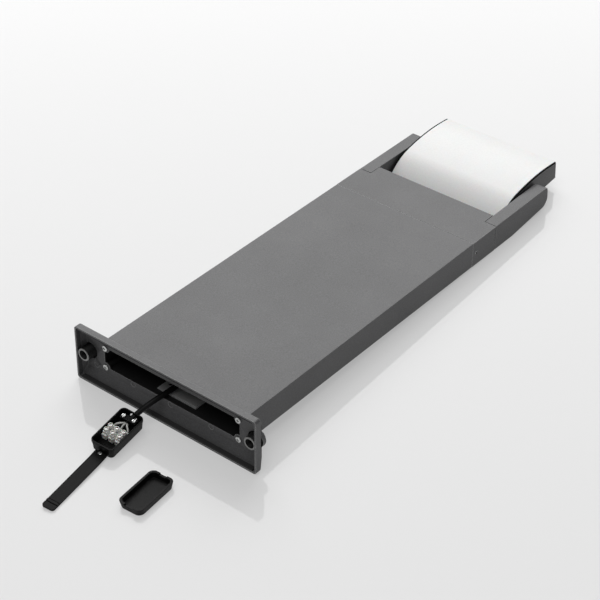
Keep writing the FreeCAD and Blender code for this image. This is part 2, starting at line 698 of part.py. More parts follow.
def cheeks():
    for side, sign in (("left", 1), ("right", -1)):
        cheek = body(f"cheek_{side}")
        inner = "head_half-cheek_thick" if sign > 0 else "0-head_half"
        pad(cheek, "XZ_Plane", inner, "cheek_thick", cheek_outline())
        tab_inner = "head_half-cheek_thick-8" if sign > 0 else "0-head_half+cheek_thick-0.5"
        top = "(head_floor+floor_thick)"
        tabs = [rectangle(x, top, f"{x}+8", f"{top}+2") for x in ("470", "545")]
        pad(cheek, "XZ_Plane", tab_inner, "8.5", *tabs)
        drill(cheek, "XZ_Plane", f"{inner}-1", "cheek_thick+2", [("pivot_x", "pivot_z")],
              "pin_radius+running_gap")
        y = "head_half-cheek_thick-4" if sign > 0 else "0-(head_half-cheek_thick-4)"
        drill(cheek, "XY_Plane", f"{top}-1", "4", [("474", y), ("549", y)], "1.45")
        node(f"cheek_{side}", cheek, HEAD)


NOSE_UNDER = "nose_top+0.1-shell_thick"


def head_housing():
    """The aluminium back of the head: floor, front wall and a lip under the diffuser."""
    half = "(head_half-cheek_thick-0.1)"
    top = "head_floor+floor_thick"
    tub = body("head_housing")
    pad(tub, "XZ_Plane", f"0-{half}", f"2*{half}", [
        ("nose_x", "head_floor"), ("nose_x", NOSE_UNDER), ("nose_x-nose_wall", NOSE_UNDER),
        ("nose_x-nose_wall", top), ("heel_x+1", top), ("heel_x-1.6", "back_z-0.9"),
        ("back_x+shell_thick+0.25", "back_z-1.5"), ("heel_x", "head_floor"),
    ])
    spots = [(x, f"{side}(head_half-cheek_thick-4)") for x in ("474", "549") for side in ("", "0-")]
    drill(tub, "XY_Plane", "head_floor-1", "floor_thick+2", spots, "1.65")
    drill(tub, "XY_Plane", "head_floor-1", "2.4", spots, "2.9")
    node("head_housing", tub, HEAD)
    screws = [
        screw(f"cheek_screw_{i}", "z", x, y, "head_floor+1.3", "2.8", "1.2", "1.4", "3.1")
        for i, (x, y) in enumerate(spots)
    ]
    node("cheek_screws", group("cheek_screws", screws), HEAD)


def led_board():
    top = "(head_floor+floor_thick)"
    board = block("led_board", "482", "0-58", top, "60", "116", "1.6")
    node("led_board", board, HEAD)
    chips = [
        block(f"led_{i}_{j}", f"{492 + 20 * i}-1.75", f"{-50 + 20 * j}-1.75", f"{top}+1.6",
              "3.5", "3.5", "0.9")
        for i in range(3) for j in range(6)
    ]
    node("leds", group("leds", chips), HEAD)


def diffuser():
    shell = body("diffuser")
    half = "(head_half-gasket_thick)"
    pad(shell, "XZ_Plane", f"0-{half}", f"2*{half}", shell_outline())
    node("diffuser", shell, HEAD)
    strips = []
    for side, start in (("left", half), ("right", f"0-{half}-gasket_thick")):
        strip = body(f"gasket_{side}")
        pad(strip, "XZ_Plane", start, "gasket_thick", shell_outline())
        strips.append(strip)
    node("diffuser_gaskets", group("diffuser_gaskets", strips), HEAD)


# ---------------------------------------------------------------- cables


def cable_shape(points, radius):
    """A round cable: straight runs joined by tangent arcs. Prints its radii."""
    spots = [Vector(*p) for p in points]
    edges, radii, start = [], [], spots[0]
    for i in range(1, len(spots) - 1):
        back, on = spots[i - 1] - spots[i], spots[i + 1] - spots[i]
        half_turn = (math.pi - back.getAngle(on)) / 2
        bend = 0.45 * min(back.Length, on.Length) / math.tan(half_turn)
        trim = bend * math.tan(half_turn)
        enter, leave = spots[i] + back.normalize() * trim, spots[i] + on.normalize() * trim
        to_centre = (back + on).normalize() * (bend / math.cos(half_turn))
        middle = spots[i] + to_centre - to_centre.normalize() * bend
        edges += [Part.LineSegment(start, enter).toShape(), Part.Arc(enter, middle, leave).toShape()]
        radii.append(round(bend, 1))
        start = leave
    edges.append(Part.LineSegment(start, spots[-1]).toShape())
    path = Part.Wire(edges)
    along = (spots[1] - spots[0]).normalize()
    ring = Part.Wire([Part.Circle(spots[0], along, radius).toShape()])
    tube = path.makePipeShell([ring], True, True)
    section = math.pi * radius**2
    print(f"cable length {path.Length:.1f}, radii {radii}, "
          f"volume ratio {tube.Volume / (section * path.Length):.4f}")
    return tube


def cable(name, points, radius):
    made = doc.addObject("Part::Feature", name)
    made.Shape = cable_shape(points, radius)
    node(name, made, Placement())


def lamp_point(x, y, z):
    return LAMP.multVec(Vector(val(x), val(y), val(z)))


CABLE_STOP = "box_length/2-12"


def supply_cable():
    """From the driver, over the foot's sill and down to the box."""
    inside = [lamp_point("driver_from", CABLE_Y, CABLE_Z), lamp_point("20", CABLE_Y, CABLE_Z)]
    outside = [lamp_point("0-3", "13.4", "4.6")]
    box_ends = [BOX.multVec(Vector(val(x), 0, val(z))) for x, z in (
        ("box_length/2+1.5", "cable_entry"), (CABLE_STOP, "cable_entry"))]
    cable("supply_cable", [*inside, *outside, *box_ends], val("cable_radius"))


def head_lead():
    """From the driver through the joiner to the grommet at the tongue."""
    stops = [("driver_from+driver_length+0.3", "0", "13"), ("240", "0", "13.6"), ("292", "3", "14"),
             ("344", "1", "15"), ("396", "0", "15"), ("tongue_end", "0", "15")]
    cable("head_lead", [lamp_point(*stop) for stop in stops], 2)


# ---------------------------------------------------------------- supply box

CLAMP_FROM, CLAMP_SCREWS = "box_length/2-11", ("6.1", "0-6.1")


def box_rectangle(inset, corner):
    return rounded(f"0-(box_length/2-{inset})", f"0-(box_width/2-{inset})",
                   f"(box_length/2-{inset})", f"(box_width/2-{inset})", corner)


def junction_box():
    """An open plastic trough: leaning walls, a band at the brim, a cable hole, a strap tab."""
    trough = body("junction_box")
    low, high = sketch(trough, "XY_Plane", "0"), sketch(trough, "XY_Plane", "box_high")
    outline(low, box_rectangle("(box_draft+box_band)", "box_corner-1"))
    outline(high, box_rectangle("box_band", "box_corner-1"))
    loft(trough, [low, high])
    pad(trough, "XY_Plane", "box_high-3", "3", box_rectangle("0", "box_corner"))
    floor, brim = sketch(trough, "XY_Plane", "2"), sketch(trough, "XY_Plane", "box_high+1")
    outline(floor, box_rectangle("(box_draft+box_wall)", "box_corner-2"))
    outline(brim, box_rectangle("box_wall", "box_corner-2"))
    loft(trough, [floor, brim], cut_away=True)
    drill(trough, "YZ_Plane", "box_length/2-6", "8", [("0", "cable_entry")], "cable_radius+1.2")
    tab = rectangle("0-(box_length/2+6)", "strap_y-5", "0-(box_length/2-5)", "strap_y+5")
    pad(trough, "XY_Plane", "0", "1.6", tab)
    drill(trough, "XY_Plane", "0-1", "4", [("0-(box_length/2+2)", "strap_y")], "1.35")
    saddle = rectangle(CLAMP_FROM, "0-9.2", f"{CLAMP_FROM}+6", "9.2")
    pad(trough, "XY_Plane", "1.9", "cable_entry-cable_radius-0.1-1.9", saddle)
    spots = [(f"{CLAMP_FROM}+3", y) for y in CLAMP_SCREWS]
    drill(trough, "XY_Plane", "3", "8", spots, "1.25")
    node("junction_box", trough, BOX)


POLE = 7.7
BLOCK = BOX * Placement(Vector(-3.1, 0.4, -1.6), Rotation())


def terminal_block():
    """A white three-pole block: three bars with a tower for each screw, and wire mouths."""
    block_body = body("terminal_block")
    pad(block_body, "XY_Plane", "5", "2.5", rectangle("0-4.5", "0-10.3", "4.5", "10.3"))
    bars = [rectangle("0-7.6", f"{POLE * i - 2.6}", "7.6", f"{POLE * i + 2.6}") for i in (-1, 0, 1)]
    pad(block_body, "XY_Plane", "4", "5.6", *bars)
    tops = [rectangle("0-5.9", f"{POLE * i - 2.4}", "5.9", f"{POLE * i + 2.4}") for i in (-1, 0, 1)]
    pad(block_body, "XY_Plane", "9.5", "2.8", *tops)
    spots = [(f"{u}", f"{POLE * i}") for i in (-1, 0, 1) for u in (-3.1, 3.1)]
    studs(block_body, "XY_Plane", "12.2", "2.7", spots, "2.3")
    drill(block_body, "XY_Plane", "11", "6", spots, "1.65")
    drill(block_body, "YZ_Plane", "0-8.6", "18", [(f"{POLE * i}", "7") for i in (-1, 0, 1)], "1.3")
    node("terminal_block", block_body, BLOCK)
    screws = [rod(f"terminal_screw_{i}", "z", u, v, "11", "1.6", "3")
              for i, (u, v) in enumerate(spots)]
    node("terminal_screws", group("terminal_screws", screws), BLOCK)


def core_wires():
    """Three cores of the cable, from under the clamp into the block."""
    wires = []
    for i in (-1, 0, 1):
        level = val("cable_entry")
        bend = [Vector(val(CABLE_STOP) - 0.2, 1.6 * i, level), Vector(10.6, 1.7 * i, level)]
        mouth = [Vector(8.9, POLE * i, 7), Vector(4.4, POLE * i, 7)]
        points = [BOX.multVec(p) for p in bend] + [BLOCK.multVec(p) for p in mouth]
        wire = doc.addObject("Part::Feature", f"core_wire_{i + 1}")
        wire.Shape = cable_shape(points, 0.75)
        wires.append(wire)
    node("core_wires", group("core_wires", wires), Placement())


def strain_relief():
    bar = block("relief_bar_blank", CLAMP_FROM, "0-9.2", "cable_entry-1.4", "6", "18.4", "5.2")
    groove = rod("relief_groove", "x", f"{CLAMP_FROM}-1", "0", "cable_entry", "cable_radius+0.3", "8")
    middle, top = f"{CLAMP_FROM}+3", "cable_entry+3.8"
    holes = [rod(f"relief_hole_{i}", "z", middle, y, "5", "1.4", "12")
             for i, y in enumerate(CLAMP_SCREWS)]
    node("strain_relief_bar", cut("strain_relief_bar", bar, groove, *holes), BOX)
    screws = []
    for i, y in enumerate(CLAMP_SCREWS):
        head = rod(f"relief_head_{i}", "z", middle, y, top, "2.3", "1.4")
        socket = rod(f"relief_socket_{i}", "z", middle, y, f"{top}+0.5", "1", "2")
        shank = rod(f"relief_shank_{i}", "z", middle, y, "3.4", "1.2", f"{top}-3.4")
        screws.append(fuse(f"relief_screw_{i}", cut(f"relief_cup_{i}", head, socket), shank))
    node("strain_relief_screws", group("strain_relief_screws", screws), BOX)


def pull_strap():
    """A flat moulded strap, screwed to the box's tab, with a ridge near its free end."""
    strap = body("pull_strap")
    low, half, free = "1.7", "(strap_width/2)", "(0-strap_length)"

    def along(back, up):
        """A point of the side view, so far back from the screw and up from the underside."""
        return f"0-({back})", f"{low}+{up}+({back}-8)*strap_slope"

    top, dip = "strap_thick", "strap_thick-0.5"
    profile = [("2.2", low), ("2.2", f"{low}+{top}"), ("0-8", f"{low}+{top}")]
    profile += [along("69.6", top), along("69.6", dip), along("70.4", dip)]
    profile += [along("70.4", f"{top}+0.5"), along("73.2", f"{top}+0.5"), along("73.2", dip)]
    profile += [along("74", dip), along("74", f"{top}+0.3"), along("strap_length", f"{top}+0.3")]
    profile += [along("strap_length", "0"), ("0-8", low)]
    pad(strap, "XZ_Plane", f"0-{half}", f"2*{half}", profile)
    for sign, bulge in (("", "0-3"), ("0-", "3")):
        corner = [
            (f"{free}-1", f"{sign}({half}+1)"), (f"{free}-1", f"{sign}({half}-3)"),
            (free, f"{sign}({half}-3)"), (f"{free}+3", f"{sign}{half}", bulge),
            (f"{free}+3", f"{sign}({half}+1)"),
        ]
        pocket(strap, "XY_Plane", "0-1", "14", corner)
    drill(strap, "XY_Plane", "0-1", "8", [("0", "0")], "1.4")
    node("pull_strap", strap, STRAP)
    head = rod("strap_screw_head", "z", "0", "0", f"{low}+strap_thick", "2.2", "1.3")
    shank = rod("strap_screw_shank", "z", "0", "0", "0.2", "1.25", f"{low}+strap_thick-0.2")
    node("strap_screw", fuse("strap_screw", head, shank), STRAP)


def junction_box_lid():
    """The box's lid, lying on its back with its hollow up."""
    lid = body("junction_box_lid")

    def ring(inset, corner):
        return rounded(f"0-(lid_length/2-{inset})", f"0-(lid_width/2-{inset})",
                       f"(lid_length/2-{inset})", f"(lid_width/2-{inset})", corner)

    low, high = sketch(lid, "XY_Plane", "0"), sketch(lid, "XY_Plane", "lid_high")
    outline(low, ring("1.2", "lid_corner-1"))
    outline(high, ring("0", "lid_corner-1"))
    loft(lid, [low, high])
    floor, brim = sketch(lid, "XY_Plane", "2"), sketch(lid, "XY_Plane", "lid_high+1")
    outline(floor, ring("3.6", "lid_corner-2.6"))
    outline(brim, ring("2.4", "lid_corner-2.6"))
    loft(lid, [floor, brim], cut_away=True)
    for start, side, depth in (("0-lid_length/2-1", "5", "2"), ("lid_length/2-4", "4", "1.2")):
        pocket(lid, "YZ_Plane", start, "5",
               rounded(f"0-{side}", f"lid_high-{depth}", side, "lid_high+3", "1.1"))
    node("junction_box_lid", lid, LID)


base_casting()
base_seal()
levelling_sleeves()
base_screws()
post_extrusion()
carrier_tray()
rating_plate()
led_driver()
cable_clamp()
joiner_block()
collar()
collar_set_screws()
head_grommet()
arms()
arm_screws()
pivots()
cheeks()
head_housing()
led_board()
diffuser()
supply_cable()
head_lead()
junction_box()
terminal_block()
core_wires()
strain_relief()
pull_strap()
junction_box_lid()

doc.recompute()
for made in doc.Objects:
    if {"Invalid", "Error"} & set(made.State):
        raise RuntimeError(f"{made.Label}: {made.State}")
for name, made in parts.items():
    if made.Shape.isNull() or not made.Shape.isValid() or not made.Shape.Solids:
        raise RuntimeError(f"{name}: no valid solid")

os.makedirs("parts", exist_ok=True)
for name, made in parts.items():
    made.Shape.exportStep(f"parts/{name}.step")
print(len(parts), "nodes,", "lean", round(LEAN, 3))
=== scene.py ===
import math

import bmesh
import bpy
from mathutils import Matrix, Vector


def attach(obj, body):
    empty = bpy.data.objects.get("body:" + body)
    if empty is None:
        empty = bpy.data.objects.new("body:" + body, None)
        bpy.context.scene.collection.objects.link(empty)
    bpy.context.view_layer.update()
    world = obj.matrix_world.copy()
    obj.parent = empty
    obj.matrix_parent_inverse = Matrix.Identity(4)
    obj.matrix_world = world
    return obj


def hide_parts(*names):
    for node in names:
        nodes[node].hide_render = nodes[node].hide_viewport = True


# A path light with a tilting head, lying on its back beside its opened supply box.
# Pieces of the lamp are made straight, in millimetres from the foot's front plane (x),
# the post's middle (y) and the post's underside (z), and then leaned onto the floor.

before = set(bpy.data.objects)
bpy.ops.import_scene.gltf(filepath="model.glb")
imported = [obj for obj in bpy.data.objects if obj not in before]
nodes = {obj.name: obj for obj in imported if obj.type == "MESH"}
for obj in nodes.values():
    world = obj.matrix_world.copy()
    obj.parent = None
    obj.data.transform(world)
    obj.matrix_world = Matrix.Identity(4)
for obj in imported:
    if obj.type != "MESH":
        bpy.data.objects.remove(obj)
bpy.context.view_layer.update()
MM = 0.001

# How far the foot's lower edge hangs below the post, and where foot and arms touch the floor.
FLOOR_DROP = 16.4
HEEL_AT = 7
BELLY_AT = 455
HALF_LENGTH = 282.85
PIVOT = Vector((504, 0, 16))
HEAD_TILT = 5.6
SLEEVE_OFF_MIDDLE = 104
SLEEVE_HIGH = 14.6
SLEEVE_LONG = 15
SLEEVE_MOUTHS = {"left": 0.6, "right": 2.6}
# Spacing of the terminal block's poles.
POLE = 7.7

lean_turn = Matrix.Rotation(math.atan(FLOOR_DROP / (BELLY_AT - HEEL_AT)), 4, "Y")
foot_front = lean_turn @ Vector((0, 0, -FLOOR_DROP))
foot_heel = lean_turn @ Vector((HEEL_AT, 0, -FLOOR_DROP))
LAMP = Matrix.Translation((-HALF_LENGTH - foot_front.x, 0, -foot_heel.z)) @ lean_turn
HEAD = LAMP @ Matrix.Translation(PIVOT) @ Matrix.Rotation(math.radians(-HEAD_TILT), 4, "Y")
HEAD = HEAD @ Matrix.Translation(-PIVOT)


def stood(x, y, z, turn, pitch=0, roll=0):
    """A place beyond the foot's lower edge, turned, pitched and rolled in degrees."""
    made = Matrix.Translation((x - HALF_LENGTH, y, z))
    for angle, axis in ((turn, "Z"), (pitch, "Y"), (roll, "X")):
        made = made @ Matrix.Rotation(math.radians(angle), 4, axis)
    return made


BOX = stood(-42.8, 18.6, 3.7, 4.2, -5, 5.5)
BLOCK = BOX @ Matrix.Translation((-3.1, 0.4, -1.6))
STRAP = BOX @ Matrix.Translation((-27.15, -0.9, 0)) @ Matrix.Rotation(math.radians(2.9), 4, "Z")
LID = stood(-81.6, -53.5, 0, 3.5)


# ------------------------------------------------------------------ materials


def paint(code):
    """An sRGB hex colour as linear red, green, blue and alpha."""
    values = [int(code[i:i + 2], 16) / 255 for i in (1, 3, 5)]
    linear = [v / 12.92 if v <= 0.04045 else ((v + 0.055) / 1.055) ** 2.4 for v in values]
    return (*linear, 1.0)


def add(tree, kind, settings=None, links=None):
    """Adds one shader node, sets its values and feeds its inputs."""
    made = tree.nodes.new("ShaderNode" + kind)
    for key, value in (settings or {}).items():
        if isinstance(key, int) or key in made.inputs:
            made.inputs[key].default_value = value
        else:
            setattr(made, key, value)
    for key, source in (links or {}).items():
        tree.links.new(source, made.inputs[key])
    return made


def finish(name, **surface):
    """A new material, its node tree and its shader with plain values set."""
    made = bpy.data.materials.new(name)
    made.use_nodes = True
    shader = made.node_tree.nodes["Principled BSDF"]
    for key, value in surface.items():
        shader.inputs[key.replace("_", " ")].default_value = value
    return made, made.node_tree, shader


def grained(name, dark, light, grain, depth, patch=14, low=0.35, high=0.65, edge=None, **surface):
    """A finish whose colour wanders between two tones, with a fine grain of its own size.
    grain is the grain's size in millimetres and depth its height in millimetres; edge is
    the tone of a painted highlight along sharp edges."""
    made, tree, shader = finish(name, **surface)
    where = add(tree, "TexCoord").outputs["Object"]
    fine = add(tree, "TexNoise", {"Scale": 1000 / grain, "Detail": 3.0, "Roughness": 0.6},
               {"Vector": where})
    broad = add(tree, "TexNoise", {"Scale": float(patch), "Detail": 2.0}, {"Vector": where})
    both = add(tree, "Math", {"operation": "MULTIPLY_ADD", 1: 0.7}, {0: fine.outputs["Fac"]})
    share = add(tree, "Math", {"operation": "MULTIPLY", 1: 0.3}, {0: broad.outputs["Fac"]})
    tree.links.new(share.outputs[0], both.inputs[2])
    tone = add(tree, "ValToRGB", links={"Fac": both.outputs[0]})
    tone.color_ramp.elements[0].position = low
    tone.color_ramp.elements[0].color = paint(dark)
    tone.color_ramp.elements[1].position = high
    tone.color_ramp.elements[1].color = paint(light)
    colour = tone.outputs["Color"]
    if edge:
        # Painted highlight along sharp edges.
        rounded = add(tree, "Bevel", {"samples": 4, "Radius": 1.3 * MM})
        flat = add(tree, "NewGeometry").outputs["Normal"]
        alike = add(tree, "VectorMath", {"operation": "DOT_PRODUCT"},
                    {0: rounded.outputs["Normal"], 1: flat})
        highlight_share = add(tree, "MapRange", {"From Min": 0.82, "From Max": 0.99, "To Min": 0.9, "To Max": 0.0},
                   {"Value": alike.outputs["Value"]})
        colour = add(tree, "MixRGB", {"Color2": paint(edge)},
                     {"Fac": highlight_share.outputs["Result"], "Color1": colour}).outputs["Color"]
    tree.links.new(colour, shader.inputs["Base Color"])
    bump = add(tree, "Bump", {"Strength": 0.5, "Distance": depth * MM}, {"Height": fine.outputs["Fac"]})
    tree.links.new(bump.outputs["Normal"], shader.inputs["Normal"])
    return made


# Polyester powder coat, baked on aluminium: dark grey, a fine even orange peel whose
# 0.6 mm grain is drawn at 1.1 mm so that it shows, and a soft sheen.
# The light grey along its sharp edges is a painted highlight.
powder_coat = grained("powder_coat", "#424243", "#5a5a5b", 1.1, 0.3, edge="#a4a4a4", Roughness=0.48)
# Painted shade for the bore of the post and the edges of its mouth: near black, as almost no light comes
# out.
bore_painted_shade = grained("bore_painted_shade", "#101010", "#1c1c1c", 1.2, 0.2, Roughness=0.7)
# Opal polycarbonate, extruded and satin: milky white, light goes a little way in; a faint glow is painted
# light that lifts its shaded back.
opal_sheet = grained(
    "opal_polycarbonate", "#d0d0cf", "#d9d9d8", 1.5, 0.02, Roughness=0.36,
    Subsurface_Weight=0.2, Subsurface_Scale=0.004, Emission_Color=(1, 1, 1, 1), Emission_Strength=0.1)
# Silicone cord gasket: deep black, dull.
silicone = grained(
    "silicone_gasket", "#060606", "#0d0d0d", 0.8, 0.1, Roughness=0.7, Specular_IOR_Level=0.1)
# Ribbed rubber strip in the rim: dusty black, a shade lighter than the gasket.
rubber_strip = grained("epdm_strip", "#1e1e1e", "#2e2e2e", 0.9, 0.15, Roughness=0.75)
# Glass-filled polyamide from a spark-eroded mould: black with a fine matt grain.
black_polyamide = grained(
    "black_polyamide", "#060606", "#0f0f0f", 0.7, 0.25, Roughness=0.45, Specular_IOR_Level=0.12)
# Flexible strap of polypropylene, a little greyer and smoother than the box.
strap_plastic = grained(
    "strap_polypropylene", "#080808", "#131313", 0.9, 0.2, Roughness=0.5, Specular_IOR_Level=0.1)
# Rubber-sheathed cable: black, faint drawn texture, dull.
cable_rubber = grained(
    "cable_rubber", "#080808", "#101010", 0.8, 0.15, Roughness=0.5, Specular_IOR_Level=0.2)
# White polyamide of the terminal block and driver: slightly yellowish, glossy, a bit translucent.
white_polyamide = grained(
    "white_polyamide", "#dededa", "#f0f0ec", 2.0, 0.05, Roughness=0.3,
    Subsurface_Weight=0.15, Subsurface_Scale=0.002)
# Zinc-plated steel of the screws and pins: bright, slightly uneven plating.
zinc_steel = grained("zinc_plated_steel", "#b9bab9", "#dcdddc", 1.5, 0.03, Metallic=1.0, Roughness=0.24)
# Dull steel of the levelling sleeves: a grey mouth, darkened from bright plating as painted shade, since the
# sleeves sit in shaded pockets.
sleeve_steel_painted_shade = grained("sleeve_steel_painted_shade", "#6f6f6e", "#979796", 1.3, 0.05, Metallic=1.0, Roughness=0.36)
# Sleeve bore and thread: painted shade, near-black beside the grey mouth of a sleeve.
thread_painted_shade = grained(
    "sleeve_thread_shade", "#0b0b0b", "#171717", 0.8, 0.1, Roughness=0.5, Specular_IOR_Level=0.25)
# Mill-finish aluminium sheet: pale dull grey with a faint rolling grain.
mill_aluminium = grained("mill_aluminium", "#bcbdbe", "#d6d7d8", 0.9, 0.04, Metallic=0.35, Roughness=0.5)
# Matt polyester film of the blank plate: light grey, picks up any light in the dark bore.
plate_film = grained("plate_film", "#a6a6a6", "#b4b4b4", 1.2, 0.03, Roughness=0.55)
# PVC insulation of the cores: light grey, smooth.
core_insulation = grained("core_insulation", "#b8b8b5", "#cfcfcc", 1.5, 0.03, Roughness=0.35)
# Fibre of the friction washers: hard pressed, brownish black.
pressed_fibre = grained("pressed_fibre", "#1d1b19", "#2b2826", 0.9, 0.2, Roughness=0.8)


# ------------------------------------------------------------------ shaping helpers


def only(piece, mode="OBJECT"):
    """Leaves one piece selected and active, with nothing picked in it in edit mode."""
    bpy.ops.object.select_all(action="DESELECT")
    piece.select_set(True)
    bpy.context.view_layer.objects.active = piece
    if mode == "EDIT":
        bpy.ops.object.mode_set(mode="EDIT")
        bpy.ops.mesh.select_all(action="DESELECT")


def done():
    """Leaves edit mode."""
    bpy.ops.object.mode_set(mode="OBJECT")


def pick(kind, test):
    """In edit mode, picks the faces or edges for which test(middle, normal or run) holds."""
    bpy.ops.mesh.select_mode(type=kind)
    bpy.ops.mesh.select_all(action="DESELECT")
    mesh = bmesh.from_edit_mesh(bpy.context.object.data)
    if kind == "FACE":
        for face in mesh.faces:
            face.select_set(test(face.calc_center_median(), face.normal))
    else:
        for edge in mesh.edges:
            a, b = (v.co for v in edge.verts)
            edge.select_set(test((a + b) / 2, (b - a).normalized()))
    bmesh.update_edit_mesh(bpy.context.object.data)


def modify(piece, kind, **settings):
    """Adds a modifier to a piece and applies it."""
    only(piece)
    modifier = piece.modifiers.new(kind, kind)
    for key, value in settings.items():
        setattr(modifier, key, value)
    bpy.ops.object.modifier_apply(modifier=modifier.name)


def smooth(piece, angle):
    """Shades a piece smooth except at edges sharper than angle degrees."""
    only(piece)
    bpy.ops.object.shade_smooth_by_angle(angle=math.radians(angle))


SHARP = 28


def ease(piece, width, segments=2):
    """Rounds every sharp edge by width millimetres."""
    modify(piece, "BEVEL", width=width, segments=segments, limit_method="ANGLE",
           angle_limit=math.radians(SHARP), use_clamp_overlap=False, miter_outer="MITER_ARC")
    smooth(piece, 40)
    modify(piece, "WEIGHTED_NORMAL", keep_sharp=True, weight=100)


def primitive(name, kind, **settings):
    """A new mesh primitive, alone in the selection and under its own name."""
    bpy.ops.object.select_all(action="DESELECT")
    getattr(bpy.ops.mesh, f"primitive_{kind}_add")(**settings)
    made = bpy.context.object
    made.name = name
    return made


def cube(name, low, high):
    """A block between two opposite corners."""
    low, high = Vector(low), Vector(high)
    made = primitive(name, "cube", size=1, location=(low + high) / 2)
    only(made, "EDIT")
    bpy.ops.mesh.select_all(action="SELECT")
    bpy.ops.transform.resize(value=high - low)
    done()
    bpy.ops.object.transform_apply(location=True, rotation=True, scale=True)
    return made


TURN = {"x": (0, math.pi / 2, 0), "z": (0, 0, 0)}


def rod(name, axis, start, radius, length, sides):
    """A cylinder from start towards +axis."""
    middle = Vector(start)
    middle["xyz".index(axis)] += length / 2
    made = primitive(name, "cylinder", vertices=sides, radius=radius, depth=length,
                     location=middle, rotation=TURN[axis])
    bpy.ops.object.transform_apply(location=True, rotation=True, scale=True)
    return made


def cut(piece, *cutters):
    """Cuts the cutters out of a piece and removes them."""
    for cutter in cutters:
        modify(piece, "BOOLEAN", operation="DIFFERENCE", object=cutter, solver="EXACT")
        bpy.data.objects.remove(cutter)


def merge(name, pieces):
    """Makes one object of several."""
    only(pieces[0])
    for piece in pieces[1:]:
        piece.select_set(True)
    bpy.ops.object.join()
    pieces[0].name = name
    return pieces[0]


def tidy_normals(piece):
    """Welds doubled points and turns every face outwards."""
    only(piece, "EDIT")
    bpy.ops.mesh.select_all(action="SELECT")
    bpy.ops.mesh.remove_doubles(threshold=0.0005)
    bpy.ops.mesh.normals_make_consistent(inside=False)
    done()


def lathe(name, profile, sides=48):
    """A turned piece: the profile's (along, radius) points spun about the x axis."""
    made = primitive(name, "plane", size=1)
    only(made, "EDIT")
    bpy.ops.mesh.select_all(action="SELECT")
    bpy.ops.mesh.merge(type="CENTER")
    bpy.ops.mesh.select_mode(type="VERT")
    bpy.ops.mesh.select_all(action="SELECT")
    bpy.ops.transform.translate(value=(profile[0][0], 0, profile[0][1]))
    for before, after in zip(profile, profile[1:]):
        step = (after[0] - before[0], 0, after[1] - before[1])
        bpy.ops.mesh.extrude_vertices_move(TRANSFORM_OT_translate={"value": step})
    bpy.ops.mesh.select_all(action="SELECT")
    bpy.ops.mesh.spin(steps=sides, angle=2 * math.pi, center=(0, 0, 0), axis=(1, 0, 0))
    done()
    tidy_normals(made)
    return made


def put(piece, material, body, placement, stands_for, inner=None, where=None):
    """Brings a piece to its place in metres, gives it its finish and its body. Faces for
    which where(middle, normal) holds, in the piece's own axes, get the inner finish."""
    marked = [f.index for f in piece.data.polygons if where(f.center, f.normal)] if where else []
    piece.matrix_world = Matrix.Scale(MM, 4) @ placement
    only(piece)
    bpy.ops.object.transform_apply(location=True, rotation=True, scale=True)
    piece.data.materials.clear()
    piece.data.materials.append(material)
    if inner:
        piece.data.materials.append(inner)
    for index in marked:
        piece.data.polygons[index].material_index = 1
    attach(piece, body)
    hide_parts(*stands_for)


def from_frame(node, placement):
    """A joined copy of a frame node, in millimetres in the piece's own axes."""
    piece = bpy.data.objects.new(node + "_finished", nodes[node].data.copy())
    bpy.context.scene.collection.objects.link(piece)
    piece.matrix_world = placement.inverted() @ Matrix.Scale(1 / MM, 4)
    only(piece)
    bpy.ops.object.transform_apply(location=True, rotation=True, scale=True)
    bpy.ops.object.mode_set(mode="EDIT")
    bpy.ops.mesh.select_all(action="SELECT")
    bpy.ops.mesh.customdata_custom_splitnormals_clear()
    bpy.ops.mesh.remove_doubles(threshold=0.01)
    bpy.ops.mesh.dissolve_limited(angle_limit=math.radians(0.6))
    done()
    return piece


# ------------------------------------------------------------------ lamp


def foot():
    """The cast foot: eased edges, and the round marks of the mould's ejectors."""
    piece = from_frame("base_casting", LAMP)
    ease(piece, 0.5)
    ejectors = (96.8, 48.9, 0.8, -50.1)
    cut(piece, *[rod("ejector", "x", (10.5, y, 0.2), 2.9, 0.6, 28) for y in ejectors])
    smooth(piece, 40)

    def dark(m, n):
        """The walls of the mouth and the pockets round the sleeves, which get painted shade."""
        in_mouth = m.x > 10.9 and abs(m.y) < 85.2 and 3.6 < m.z < 27.2 and abs(n.x) < 0.9
        return in_mouth or (m.x > 10.5 and math.hypot(abs(m.y) - SLEEVE_OFF_MIDDLE, m.z - SLEEVE_HIGH) < 9)

    put(piece, powder_coat, "post", LAMP, ["base_casting"], bore_painted_shade, dark)


def post_and_collar():
    """The post with its bore in painted shade, and the collar with a bevel along its upper rear edge."""
    post = from_frame("post_extrusion", LAMP)
    smooth(post, 30)
    modify(post, "WEIGHTED_NORMAL", keep_sharp=True, weight=100)
    # Faces inside the bore get painted shade.
    put(post, powder_coat, "post", LAMP, ["post_extrusion"], bore_painted_shade,
        lambda m, n: abs(m.y) < 87.9 and 2.3 < m.z < 27.7)
    collar = from_frame("collar", LAMP)
    only(collar, "EDIT")
    pick("EDGE", lambda m, run: m.x > 439 and m.z > 29.9 and abs(run.y) > 0.9)
    bpy.ops.mesh.bevel(offset=2.4, segments=1, affect="EDGES")
    done()
    ease(collar, 0.45)
    put(collar, powder_coat, "post", LAMP, ["collar"])


def arms():
    """The two arms that carry the head."""
    for side in ("left", "right"):
        arm = from_frame(f"arm_{side}", LAMP)
        ease(arm, 0.7, 3)
        put(arm, powder_coat, "post", LAMP, [f"arm_{side}"])


def head():
    """The tilting head: cheeks, housing, opal sheet and gasket lines."""
    for side in ("left", "right"):
        cheek = from_frame(f"cheek_{side}", HEAD)
        ease(cheek, 0.3)
        put(cheek, powder_coat, "head", HEAD, [f"cheek_{side}"])
    back = from_frame("head_housing", HEAD)
    ease(back, 0.4)
    put(back, powder_coat, "head", HEAD, ["head_housing"])
    shell = from_frame("diffuser", HEAD)
    ease(shell, 0.3)
    put(shell, opal_sheet, "head", HEAD, ["diffuser"])
    lines = from_frame("diffuser_gaskets", HEAD)
    smooth(lines, 30)
    put(lines, silicone, "head", HEAD, ["diffuser_gaskets"])


